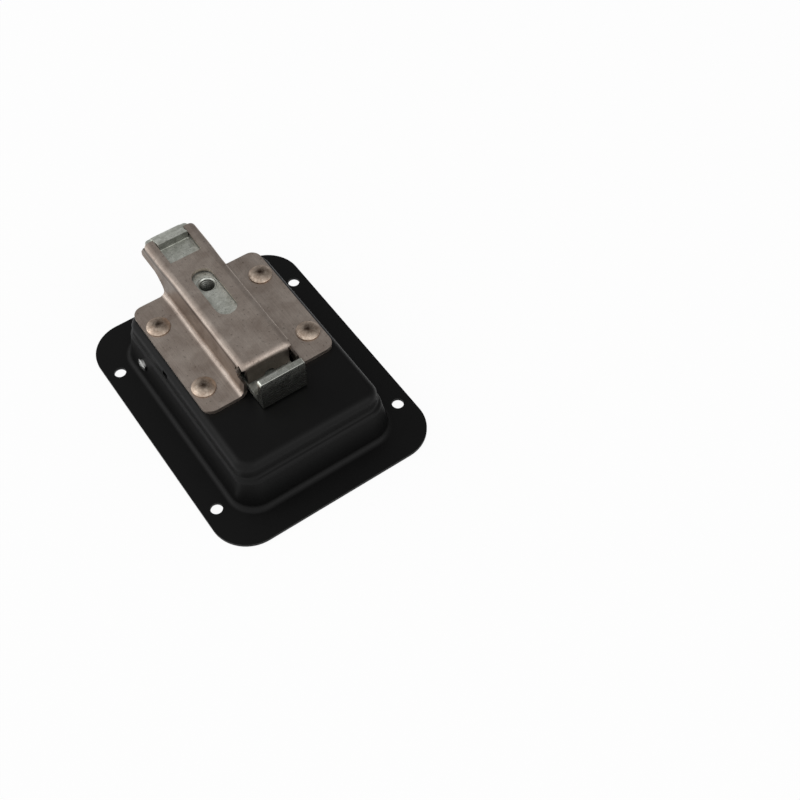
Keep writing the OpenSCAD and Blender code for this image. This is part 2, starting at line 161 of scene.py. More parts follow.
def roundedLoop(bm, width, length, radius, middleY, z, steps, keepFace=False):
    # wire loop, or face, with the outline of a rectangle with rounded corners
    verts = bmesh.ops.create_grid(bm, x_segments=1, y_segments=1, size=0.5)["verts"]
    bmesh.ops.scale(bm, vec=(width, length, 1), verts=verts)
    bmesh.ops.translate(bm, vec=(0, middleY, z), verts=verts)
    face = verts[0].link_faces[0]
    known = set(bm.faces)
    known.discard(face)
    bmesh.ops.bevel(bm, geom=verts, affect="VERTICES", offset=radius, segments=steps,
                    profile=0.5, material=-1)
    face = next(f for f in bm.faces if f not in known)
    edges = list(face.edges)
    if not keepFace:
        bmesh.ops.delete(bm, geom=[face], context="FACES_ONLY")
    return edges


def addCylinder(bm, radius, start, end, segments=48):
    start, end = Vector(start), Vector(end)
    axis = end - start
    turn = axis.to_track_quat("Z", "Y").to_matrix().to_4x4()
    bmesh.ops.create_cone(bm, cap_ends=True, segments=segments, radius1=radius, radius2=radius,
                          depth=axis.length, matrix=Matrix.Translation((start + end) / 2) @ turn)


def addBox(bm, low, high):
    low, high = Vector(low), Vector(high)
    size = high - low
    bmesh.ops.create_cube(bm, size=1, matrix=Matrix.Translation((low + high) / 2)
                          @ Matrix.Diagonal((*size, 1)))


def addPrism(bm, outline, depth, rounded={}):
    # flat outline of 3D points pushed along depth, with some corners rounded by index
    verts = [bm.verts.new(p) for p in outline]
    face = bm.faces.new(verts)
    known = set(bm.faces)
    known.discard(face)
    for index, (radius, steps) in rounded.items():
        bmesh.ops.bevel(bm, geom=[verts[index]], affect="VERTICES", offset=radius, segments=steps,
                        profile=0.5, material=-1)
    face = next(f for f in bm.faces if f not in known)
    pushed = bmesh.ops.extrude_face_region(bm, geom=[face], use_keep_orig=True)["geom"]
    bmesh.ops.translate(bm, vec=depth, verts=[g for g in pushed if isinstance(g, bmesh.types.BMVert)])
    bmesh.ops.recalc_face_normals(bm, faces=bm.faces)


def spinProfile(bm, profile, centre, axis, steps):
    # profile: (radius, height) pairs along the axis, turned once round it
    axis = Vector(axis)
    side = axis.orthogonal().normalized()
    verts = [bm.verts.new(Vector(centre) + side * r + axis * h) for r, h in profile]
    edges = [bm.edges.new(pair) for pair in zip(verts, verts[1:])]
    bmesh.ops.spin(bm, geom=verts + edges, cent=centre, axis=axis, angle=2 * math.pi,
                   steps=steps, use_merge=True)
    bmesh.ops.remove_doubles(bm, verts=bm.verts, dist=0.0005)
    bmesh.ops.recalc_face_normals(bm, faces=bm.faces)


def arcPoints(centre, radius, start, end, steps):
    return [(centre[0] + radius * math.cos(math.radians(start + (end - start) * i / steps)),
             centre[1] + radius * math.sin(math.radians(start + (end - start) * i / steps)))
            for i in range(steps + 1)]


def extrudeEdges(bm, edges, vec):
    made = bmesh.ops.extrude_edge_only(bm, edges=edges)["geom"]
    verts = [g for g in made if isinstance(g, bmesh.types.BMVert)]
    bmesh.ops.translate(bm, vec=vec, verts=verts)
    ends = set(verts)
    return [g for g in made if isinstance(g, bmesh.types.BMEdge) and set(g.verts) <= ends]


def foldEdges(bm, radius, steps, test):
    # sharp fold lines that pass the test become bends of a radius
    edges = [e for e in bm.edges if len(e.link_faces) == 2 and test((e.verts[0].co + e.verts[1].co) / 2)
             and abs(e.calc_face_angle()) > 0.3]
    bmesh.ops.bevel(bm, geom=edges, affect="EDGES", offset=radius, segments=steps, profile=0.5,
                    material=-1, clamp_overlap=False)


def faceOutwards(bm, inside):
    # turn an open sheet so that its faces look away from an inner point
    bmesh.ops.recalc_face_normals(bm, faces=bm.faces)
    votes = sum(f.normal.dot(f.calc_center_median() - Vector(inside)) * f.calc_area() for f in bm.faces)
    if votes < 0:
        bmesh.ops.reverse_faces(bm, faces=bm.faces)


# camera

photoView = {
    "azimuth": -34.908,      # degrees round the latch
    "elevation": 55.065,
    "roll": -0.328,
    "distance": 545.265,     # mm to the point that the camera looks at
    "target": (50.052, -42.662, 0.0),
    "focalPixels": 1190.156,
    "imagePixels": 800,
    "sensor": 36.0,
}


def makeCamera():
    az, el, roll = (math.radians(photoView[k]) for k in ("azimuth", "elevation", "roll"))
    back = Vector((math.sin(az) * math.cos(el), -math.cos(az) * math.cos(el), math.sin(el)))
    right = Vector((math.cos(az), math.sin(az), 0))
    up = back.cross(right)
    rolledRight = math.cos(roll) * right + math.sin(roll) * up
    rolledUp = -math.sin(roll) * right + math.cos(roll) * up
    data = bpy.data.cameras.new("photoCamera")
    data.sensor_width = photoView["sensor"]
    data.lens = photoView["focalPixels"] / photoView["imagePixels"] * photoView["sensor"]
    data.clip_start = 0.01
    camera = bpy.data.objects.new("photoCamera", data)
    place = (Vector(photoView["target"]) + back * photoView["distance"]) * mm
    turn = Matrix((rolledRight, rolledUp, back)).transposed().to_4x4()
    camera.matrix_world = Matrix.Translation(place) @ turn
    bpy.context.collection.objects.link(camera)
    bpy.context.scene.camera = camera


makeCamera()
print("camera placed")


# studio: white floor, and a white room with one dim side

studio = {
    "brightLight": 1.0,      # walls to the left and in front
    "dimLight": 0.28,        # wall to the right and behind
    "dimSide": (0.75, 0.50, 0.43),
    "brightEdge": 0.2, "dimEdge": 0.85,      # cosine to that side where the dimming starts and ends
    "floorSize": 6.0,        # metres
    "shadowShare": 0.08,     # how much of the floor's own shading the camera sees
    "mirrorShare": 0.5,      # and how much of it shows in the metal
    "lamps": {
        "leftLamp": {"place": (-0.8, 0.55, 0.75), "size": 0.7, "power": 1.6},
        "frontLamp": {"place": (0.45, -0.9, 0.8), "size": 0.7, "power": 1.2},
    },
}


def whiteShare(tree):
    # 1 for the rays that should see plain white paper
    rays = addNode(tree, "ShaderNodeLightPath")
    seen = addNode(tree, "ShaderNodeMath", {"operation": "MAXIMUM"},
                   {0: rays.outputs["Is Camera Ray"], 1: rays.outputs["Is Transmission Ray"]})
    return rays, seen


def makeStudio():
    world = bpy.data.worlds.new("whiteRoom")
    world.use_nodes = True
    bpy.context.scene.world = world
    tree = world.node_tree
    tree.nodes.clear()
    rays, seen = whiteShare(tree)
    place = addNode(tree, "ShaderNodeTexCoord")
    side = addNode(tree, "ShaderNodeVectorMath", {"operation": "DOT_PRODUCT", 1: Vector(studio["dimSide"]).normalized()},
                   {0: place.outputs["Generated"]})
    level = addNode(tree, "ShaderNodeMapRange",
                    {"interpolation_type": "SMOOTHSTEP", "From Min": studio["brightEdge"], "From Max": studio["dimEdge"],
                     "To Min": studio["brightLight"], "To Max": studio["dimLight"]}, {"Value": side.outputs["Value"]})
    room = addNode(tree, "ShaderNodeBackground", {"Color": hexColour("#ffffff")}, {"Strength": level.outputs[0]})
    white = addNode(tree, "ShaderNodeBackground", {"Color": hexColour("#ffffff"), "Strength": 1.0})
    mix = addNode(tree, "ShaderNodeMixShader", {}, {0: seen.outputs[0], 1: room.outputs[0], 2: white.outputs[0]})
    addNode(tree, "ShaderNodeOutputWorld", {}, {"Surface": mix.outputs[0]})

    bm = bmesh.new()
    bmesh.ops.create_grid(bm, x_segments=1, y_segments=1, size=studio["floorSize"] / 2 / mm)
    floor = makeObject("floor", bm)
    floor.data.transform(Matrix.Translation((0, 0, cadBox[0][2] - 0.02 * mm)))
    paper = bpy.data.materials.new("whitePaper")
    paper.use_nodes = True
    tree = paper.node_tree
    tree.nodes.clear()
    rays, seen = whiteShare(tree)
    lit = addNode(tree, "ShaderNodeBsdfDiffuse", {"Color": hexColour("#fafafa")})
    glow = addNode(tree, "ShaderNodeEmission", {"Color": hexColour("#ffffff"), "Strength": 1.0})
    share = addNode(tree, "ShaderNodeMath", {"operation": "MULTIPLY", 1: 1 - studio["shadowShare"]}, {0: seen.outputs[0]})
    mirror = addNode(tree, "ShaderNodeMath", {"operation": "MULTIPLY", 1: 1 - studio["mirrorShare"]}, {0: rays.outputs["Is Glossy Ray"]})
    whole = addNode(tree, "ShaderNodeMath", {"operation": "MAXIMUM"}, {0: share.outputs[0], 1: mirror.outputs[0]})
    mix = addNode(tree, "ShaderNodeMixShader", {}, {0: whole.outputs[0], 1: lit.outputs[0], 2: glow.outputs[0]})
    addNode(tree, "ShaderNodeOutputMaterial", {}, {"Surface": mix.outputs[0]})
    floor.data.materials.append(paper)

    for name, setting in studio["lamps"].items():
        lamp = bpy.data.lights.new(name, "AREA")
        lamp.shape = "DISK"
        lamp.size = setting["size"]
        lamp.energy = setting["power"]
        holder = bpy.data.objects.new(name, lamp)
        place = Vector(setting["place"])
        holder.location = place
        holder.rotation_euler = (-place).to_track_quat("-Z", "Y").to_euler()
        bpy.context.collection.objects.link(holder)
    bpy.context.scene.view_settings.view_transform = "Standard"


makeStudio()
print("studio lit")

# materials: what each one really is, with pattern sizes in millimetres


def newMaterial(name):
    # empty tree with the object's own coordinates in millimetres
    material = bpy.data.materials.new(name)
    material.use_nodes = True
    tree = material.node_tree
    tree.nodes.clear()
    place = addNode(tree, "ShaderNodeTexCoord")
    sized = addNode(tree, "ShaderNodeMapping", {"Scale": (1 / mm, 1 / mm, 1 / mm)}, {"Vector": place.outputs["Object"]})
    return material, tree, sized.outputs[0]


def closeMaterial(tree, settings, links):
    shader = addNode(tree, "ShaderNodeBsdfPrincipled", settings, links)
    addNode(tree, "ShaderNodeOutputMaterial", {}, {"Surface": shader.outputs[0]})


powderCoat = {
    "dark": "#030303", "light": "#080808",
    "cloud": 14.0,          # mm between patches that took the coat a little differently
    "peel": 1.1,            # mm between the dimples of the orange peel, drawn coarse so that it shows
    "peelDepth": 0.010,     # mm
    "roughLow": 0.40, "roughHigh": 0.50,
    "gloss": 0.18,
}


def makePowderCoat():
    # black powder coat, baked on: semi-matt, faint orange peel, soft wide highlights on the bends
    c = powderCoat
    material, tree, place = newMaterial("blackPowderCoat")
    cloud = addNode(tree, "ShaderNodeTexNoise", {"Scale": 1 / c["cloud"], "Detail": 3.0, "Roughness": 0.55}, {"Vector": place})
    colour = addNode(tree, "ShaderNodeMix", {"data_type": "RGBA", 6: hexColour(c["dark"]), 7: hexColour(c["light"])},
                     {0: cloud.outputs["Fac"]})
    peel = addNode(tree, "ShaderNodeTexNoise", {"Scale": 1 / c["peel"], "Detail": 2.0, "Roughness": 0.5}, {"Vector": place})
    rough = addNode(tree, "ShaderNodeMapRange", {"To Min": c["roughLow"], "To Max": c["roughHigh"]}, {"Value": peel.outputs["Fac"]})
    bump = addNode(tree, "ShaderNodeBump", {"Strength": 1.0, "Distance": c["peelDepth"] * mm}, {"Height": peel.outputs["Fac"]})
    closeMaterial(tree, {"Metallic": 0.0, "Specular IOR Level": c["gloss"]},
                  {"Base Color": colour.outputs[2], "Roughness": rough.outputs[0], "Normal": bump.outputs[0]})
    return material


def makeMetal(name, c):
    # bare or plated metal: cloudy tone, fine drawn lines, speckled grain and a few dark specks
    material, tree, place = newMaterial(name)
    cloud = addNode(tree, "ShaderNodeTexNoise", {"Scale": 1 / c["cloud"], "Detail": 5.0, "Roughness": 0.62, "Distortion": 0.4},
                    {"Vector": place})
    share = addNode(tree, "ShaderNodeMapRange", {"From Min": 0.32, "From Max": 0.68}, {"Value": cloud.outputs["Fac"]})
    tone = addNode(tree, "ShaderNodeMix", {"data_type": "RGBA", 6: hexColour(c["dark"]), 7: hexColour(c["light"])},
                   {0: share.outputs[0]})
    drawn = addNode(tree, "ShaderNodeMapping", {"Scale": tuple(1 / size for size in c["line"])}, {"Vector": place})
    line = addNode(tree, "ShaderNodeTexNoise", {"Scale": 1.0, "Detail": 4.0, "Roughness": 0.6}, {"Vector": drawn.outputs[0]})
    lineShade = addNode(tree, "ShaderNodeMapRange", {"From Min": 0.3, "From Max": 0.7, "To Min": 1 - c["lineShade"], "To Max": 1.0},
                        {"Value": line.outputs["Fac"]})
    grain = addNode(tree, "ShaderNodeTexNoise", {"Scale": 1 / c["grain"], "Detail": 2.0, "Roughness": 0.7}, {"Vector": place})
    grainShade = addNode(tree, "ShaderNodeMapRange", {"From Min": 0.3, "From Max": 0.7, "To Min": 1 - c["grainShade"], "To Max": 1.0},
                         {"Value": grain.outputs["Fac"]})
    speck = addNode(tree, "ShaderNodeTexNoise", {"Scale": 1 / c["speck"], "Detail": 1.0}, {"Vector": place})
    speckShade = addNode(tree, "ShaderNodeMapRange", {"From Min": 0.68, "From Max": 0.74, "To Min": 1.0, "To Max": 1 - c["speckShade"]},
                         {"Value": speck.outputs["Fac"]})
    axes = addNode(tree, "ShaderNodeSeparateXYZ", {}, {0: place})
    # patches of painted shade from each metal's list are multiplied in with the random shades
    shades = [lineShade, grainShade, speckShade] + [addPatch(tree, axes, ramps) for ramps in c.get("paintedShade", [])]
    shade = shades[0]
    for other in shades[1:]:
        shade = addNode(tree, "ShaderNodeMath", {"operation": "MULTIPLY"}, {0: shade.outputs[0], 1: other.outputs[0]})
    colour = addNode(tree, "ShaderNodeVectorMath", {"operation": "SCALE"}, {0: tone.outputs[2], "Scale": shade.outputs[0]})
    if "smear" in c:
        colour = addSmear(tree, axes, place, colour, c["smear"])
    rough = addNode(tree, "ShaderNodeMapRange", {"From Min": 0.25, "From Max": 0.75, "To Min": c["roughHigh"], "To Max": c["roughLow"]},
                    {"Value": line.outputs["Fac"]})
    if "worn" in c:
        worn = addPatch(tree, axes, c["worn"])
        rough = addNode(tree, "ShaderNodeMath", {"operation": "MULTIPLY"}, {0: rough.outputs[0], 1: worn.outputs[0]})
    height = addNode(tree, "ShaderNodeMath", {"operation": "ADD"}, {0: line.outputs["Fac"], 1: grain.outputs["Fac"]})
    bump = addNode(tree, "ShaderNodeBump", {"Strength": 1.0, "Distance": c["bump"] * mm}, {"Height": height.outputs[0]})
    closeMaterial(tree, {"Metallic": 1.0}, {"Base Color": colour.outputs[0], "Roughness": rough.outputs[0], "Normal": bump.outputs[0]})
    return material


def addPatch(tree, axes, ramps):
    # factor of a patch with soft borders: each ramp is an axis, two places in mm and the factors there
    factor = None
    for axis, start, end, first, last in ramps:
        ramp = addNode(tree, "ShaderNodeMapRange", {"From Min": start, "From Max": end, "To Min": first, "To Max": last},
                       {"Value": axes.outputs[axis]})
        if factor:
            ramp = addNode(tree, "ShaderNodeMath", {"operation": "MAXIMUM"}, {0: factor.outputs[0], 1: ramp.outputs[0]})
        factor = ramp
    return factor


def addSmear(tree, axes, place, colour, m):
    # the same burnt smear at the middle of each head and a rubbed ring at its rim
    away = []
    for axis, middle, half in (("X", 0.0, m["halfX"]), ("Y", m["middleY"], m["halfY"])):
        node = addNode(tree, "ShaderNodeMath", {"operation": "SUBTRACT", 1: middle}, {0: axes.outputs[axis]})
        node = addNode(tree, "ShaderNodeMath", {"operation": "ABSOLUTE"}, {0: node.outputs[0]})
        away.append(addNode(tree, "ShaderNodeMath", {"operation": "SUBTRACT", 1: half}, {0: node.outputs[0]}))
    flat = addNode(tree, "ShaderNodeCombineXYZ", {}, {"X": away[0].outputs[0], "Y": away[1].outputs[0]})
    radius = addNode(tree, "ShaderNodeVectorMath", {"operation": "LENGTH"}, {0: flat.outputs[0]})
    wobble = addNode(tree, "ShaderNodeTexNoise", {"Scale": 1 / m["wobble"], "Detail": 3.0}, {"Vector": place})
    ragged = addNode(tree, "ShaderNodeMath", {"operation": "MULTIPLY_ADD", 1: m["ragged"]},
                     {0: wobble.outputs["Fac"], 2: radius.outputs["Value"]})
    burnt = addNode(tree, "ShaderNodeMapRange", {"From Min": m["burntIn"], "From Max": m["burntOut"], "To Min": m["burnt"], "To Max": 0.0},
                    {"Value": ragged.outputs[0]})
    colour = addNode(tree, "ShaderNodeMix", {"data_type": "RGBA", 7: hexColour(m["brown"])}, {0: burnt.outputs[0], 6: colour.outputs[0]})
    ring = addNode(tree, "ShaderNodeMapRange", {"From Min": m["ringIn"], "From Max": m["ringOut"], "To Min": m["inner"], "To Max": 1.0},
                   {"Value": radius.outputs["Value"]})
    return addNode(tree, "ShaderNodeVectorMath", {"operation": "SCALE"}, {0: colour.outputs[2], "Scale": ring.outputs[0]})


# cold rolled steel sheet, left bare: satin, warm grey, lines along the rolling direction
steelSheet = {
    "dark": "#b0a196", "light": "#cfc2b7", "cloud": 9.0,
    "line": (0.5, 16.0, 0.5), "lineShade": 0.22,
    "grain": 0.45, "grainShade": 0.20,          # drawn coarser than the real grain so that it shows
    "speck": 1.3, "speckShade": 0.35,
    "roughLow": 0.36, "roughHigh": 0.50, "bump": 0.006,
    "paintedShade": [      # painted shade: darker side walls, a dark line under the top corner, and a darker face on the tab
        [("Z", 29.9, 31.0, 1.0, 0.62), ("Z", 39.8, 40.9, 0.62, 1.0)],
        [("Z", 38.6, 39.6, 1.0, 0.6), ("Z", 40.5, 40.9, 0.6, 1.0), ("Y", -12.0, -11.0, 1.0, 0.6)],
        [("Y", -15.2, -14.0, 0.5, 1.0), ("Z", 29.4, 30.4, 1.0, 0.5), ("Z", 38.2, 40.4, 0.5, 1.0)],
    ],
}
# zinc plated steel strip, passivated: greenish grey, mottled by the bath
zincStrip = {
    "dark": "#bfc1b7", "light": "#eef0e8", "cloud": 3.0,
    "line": (5.0, 0.6, 0.6), "lineShade": 0.15,
    "grain": 0.5, "grainShade": 0.28,
    "speck": 0.8, "speckShade": 0.55,
    "roughLow": 0.48, "roughHigh": 0.62, "bump": 0.010,
    "paintedShade": [      # painted shade on the lug's face, darker towards its foot, and on the ramp's back face
        [("Y", -28.45, -28.0, 0.5, 1.0), ("Z", 38.0, 44.0, 0.5, 0.85)],
        [("Y", 66.0, 66.2, 1.0, 0.45), ("Y", 66.34, 66.5, 0.45, 1.0), ("Z", 39.6, 40.0, 1.0, 0.45)],
    ],
    "worn": [("Y", -24.0, -20.0, 0.5, 1.0)],      # the lug is smoother
}
# yellow zinc on the rivets, rubbed by the tool that set them
rivetPlate = {
    "dark": "#b9a391", "light": "#ecdac8", "cloud": 2.2,
    "line": (1.2, 1.2, 1.2), "lineShade": 0.25,
    "grain": 0.4, "grainShade": 0.25,
    "speck": 0.9, "speckShade": 0.4,
    "roughLow": 0.30, "roughHigh": 0.44, "bump": 0.010,
    "smear": {
        "halfX": 26.7, "middleY": 16.0, "halfY": 20.4,      # where the four heads are
        "brown": "#33251c", "burnt": 0.9, "burntIn": 1.9, "burntOut": 4.4, "ragged": 3.0, "wobble": 1.6,
        "inner": 0.8, "ringIn": 3.6, "ringOut": 4.8,
    },
}
# cut thread in the bush: painted shade down in the hole, bright where it catches the light
bushSteel = {
    "dark": "#b8bab2", "light": "#e6e8e0", "cloud": 2.5,
    "line": (1.5, 1.5, 0.3), "lineShade": 0.2,
    "grain": 0.4, "grainShade": 0.25,
    "speck": 0.9, "speckShade": 0.4,
    "roughLow": 0.30, "roughHigh": 0.44, "bump": 0.006,
    "paintedShade": [[("Z", 38.3, 39.0, 0.4, 1.0)]],      # painted shade down in the thread
}
# bright zinc on the pin, peened ends
pinPlate = {
    "dark": "#b9b9b7", "light": "#e4e4e2", "cloud": 2.0,
    "line": (8.0, 0.4, 0.4), "lineShade": 0.2,
    "grain": 0.4, "grainShade": 0.2,
    "speck": 0.9, "speckShade": 0.4,
    "roughLow": 0.22, "roughHigh": 0.36, "bump": 0.006,
}
# hard drawn spring wire: smooth grey with dull patches
wireSteel = {
    "dark": "#86888a", "light": "#b4b6b8", "cloud": 3.0,
    "line": (0.8, 0.8, 0.8), "lineShade": 0.2,
    "grain": 0.3, "grainShade": 0.2,
    "speck": 0.9, "speckShade": 0.4,
    "roughLow": 0.24, "roughHigh": 0.38, "bump": 0.004,
}

blackCoat = makePowderCoat()
satinSteel = makeMetal("coldRolledSteel", steelSheet)
zincPlate = makeMetal("zincPlatedSteel", zincStrip)
warmPlate = makeMetal("yellowZincRivet", rivetPlate)
threadWithPaintedShade = makeMetal("cutThreadSteel", bushSteel)
brightPin = makeMetal("brightZincPin", pinPlate)
springWire = makeMetal("drawnSpringWire", wireSteel)
print("materials mixed")

# pan: pressed steel dish with a flange, a soft shoulder and a flat top

panLow, panHigh = nodeBox("pan")
panShape = {
    "flangeW": panHigh.x - panLow.x,
    "flangeL": panHigh.y - panLow.y,
    "flangeR": 17.5,
    "sheet": 1.5,
    "holeX": 95.2, "holeY": 88.9, "holeR": 2.75,
    "dishHalf": 40.1, "dishLow": -56.4, "dishHigh": 57.4, "dishR": 12.0,     # the dish's walls carried down to the front face
    "footR": 3.0,
    "stepH": 18.5, "stepIn": 3.3, "stepEdgeR": 2.0, "creaseR": 1.5,
    "pocketHalf": 36.2, "pocketLow": -50.9, "pocketHigh": 52.9, "pocketR": 8.0,
    "pocketH": panHigh.z, "pocketIn": 0.5, "pocketEdgeR": 4.0,
    "notchY": 15.5, "notchL": 4.0, "notchH": 3.0,
    "pinY": 35.8, "pinZ": 10.0, "pinHoleR": 2.55,
    "armOpening": ((-6.0, 35.33), (6.0, 45.6)),
    "cornerSteps": 16, "filletSteps": 8,
}


def wallProfile(dish, pocket):
    # half section of one side as (distance, height): foot, wall, shoulder with its crease, wall, top edge
    p = panShape
    steps = p["filletSteps"]
    lean = math.atan(p["stepIn"] / p["stepH"])
    upperLean = math.atan(p["pocketIn"] / (p["pocketH"] - p["stepH"]))
    footZ = p["sheet"] + p["footR"]
    foot = (dish - footZ * math.tan(lean) + p["footR"] / math.cos(lean), footZ)
    edgeR, creaseR = p["stepEdgeR"], p["creaseR"]
    edgeZ = p["stepH"] - edgeR
    edge = (dish - edgeZ * math.tan(lean) - edgeR / math.cos(lean), edgeZ)
    creaseZ = p["stepH"] + creaseR
    for _ in range(30):      # crease arc that touches both the shoulder's arc and the upper wall
        creaseD = pocket - (creaseZ - p["stepH"]) * math.tan(upperLean) + creaseR / math.cos(upperLean)
        creaseZ = edgeZ + math.sqrt((edgeR + creaseR) ** 2 - (creaseD - edge[0]) ** 2)
    turn = math.degrees(math.atan2(creaseZ - edgeZ, creaseD - edge[0]))
    topZ = p["pocketH"] - p["pocketEdgeR"]
    top = (pocket - (topZ - p["stepH"]) * math.tan(upperLean) - p["pocketEdgeR"] / math.cos(upperLean), topZ)
    points = arcPoints(foot, p["footR"], 270, 180 + math.degrees(lean), steps)
    points += arcPoints(edge, edgeR, math.degrees(lean), turn, steps)
    points += arcPoints((creaseD, creaseZ), creaseR, 180 + turn, 180 + math.degrees(upperLean), steps)[1:]
    points += arcPoints(top, p["pocketEdgeR"], math.degrees(upperLean), 90, steps)
    return points


def makePan():
    p = panShape
    bm = bmesh.new()
    last = roundedLoop(bm, p["flangeW"], p["flangeL"], p["flangeR"], 0, p["sheet"], p["cornerSteps"])
    side = wallProfile(p["dishHalf"], p["pocketHalf"])
    low = wallProfile(-p["dishLow"], -p["pocketLow"])
    high = wallProfile(p["dishHigh"], p["pocketHigh"])
    lower = 2 * p["filletSteps"] + 2
    for i, ((w, zSide), (yLow, zLow), (yHigh, zHigh)) in enumerate(zip(side, low, high)):
        if i < lower:
            radius = p["dishR"] + w - p["dishHalf"]
        else:
            radius = p["pocketR"] + w - p["pocketHalf"]
        mid = (yHigh - yLow) / 2
        loop = roundedLoop(bm, 2 * w, yHigh + yLow, radius, mid, 0, p["cornerSteps"], keepFace=i == len(side) - 1)
        centre = Vector((w - radius, (yHigh + yLow) / 2 - radius))
        for vert in {v for e in loop for v in e.verts}:      # heights pass from side to end round each corner
            angle = math.degrees(math.atan2(abs(vert.co.y - mid) - centre.y, abs(vert.co.x) - centre.x))
            share = min(max(angle, 0), 90) / 90
            zEnd = zHigh if vert.co.y > mid else zLow
            vert.co.z = zSide + (zEnd - zSide) * share
        bmesh.ops.bridge_loops(bm, edges=last + loop)
        last = loop
    faceOutwards(bm, (0, 0, 10))
    pan = makeObject("pan_pressed", bm)
    thicken(pan, p["sheet"])
    cut = bmesh.new()
    for x in (-p["holeX"] / 2, p["holeX"] / 2):
        for y in (-p["holeY"] / 2, p["holeY"] / 2):
            addCylinder(cut, p["holeR"], (x, y, -2), (x, y, 4))
    addCylinder(cut, p["pinHoleR"], (-60, p["pinY"], p["pinZ"]), (60, p["pinY"], p["pinZ"]))
    notchZ = p["pocketH"] - p["pocketEdgeR"]
    addBox(cut, (-45, p["notchY"] - p["notchL"] / 2, notchZ - p["notchH"] / 2),
           (45, p["notchY"] + p["notchL"] / 2, notchZ + p["notchH"] / 2))
    (x0, y0), (x1, y1) = p["armOpening"]
    addBox(cut, (x0, y0, p["pocketH"] - 3), (x1, y1, p["pocketH"] + 2))
    combine(pan, cut, "DIFFERENCE")
    finishPiece(pan, blackCoat, "frame", ["pan"])


makePan()

# bolt housing: folded hat section with wings, slot, window and end tab

housingLow, housingHigh = nodeBox("bolt_housing")
housingShape = {
    "sheet": 2.0,
    "wingHalf": housingHigh.x,
    "wingZ": housingLow.z + 2.0,
    "topZ": housingHigh.z,
    "wingY0": housingLow.y, "wingY1": 51.4, "wingR": 5.0,
    "noseY": housingHigh.y + 0.9, "noseR": 2.2, "noseWall": 5.9, "sweepR": 9.5,
    "noseReach": 2.3, "noseToeR": 2.8,      # foot of the nose walls reaches further out than the top
    "lipOut": 0.6, "lipH": 1.8,             # and their lower edges turn out a little
    "channelHalf": 12.9, "flatHalf": 9.6, "draft": 0.16,      # walls lean out towards the pan
    "flare": 0.35, "flareY": (44.0, 57.0), "noseStep": 1.0,      # and stand further apart at the nose
    "footBend": 2.3,
    "shoulderSlope": 26.0, "shoulderR": 5.5, "cornerR": 1.3,     # top edge: a gentle shoulder, then a tight corner
    "windowHalf": 8.0, "windowL": 17.1,
    "slotHalf": 5.1, "slotY0": 14.0, "slotY1": 44.5,
    "tabY": -15.5, "tabZ0": 30.5, "tabHalf": 10.45, "tabTopHalf": 12.3, "tabBend": 3.4, "tabNotchR": 2.6,
    "cheekZ": 35.3, "reliefR": 1.3, "reliefL": 2.0, "reliefZ": (36.6, 39.9),
    "rivetX": 26.7, "rivetY": (-4.4, 36.4), "rivetR": 2.8,
    "bendSteps": 8,
}


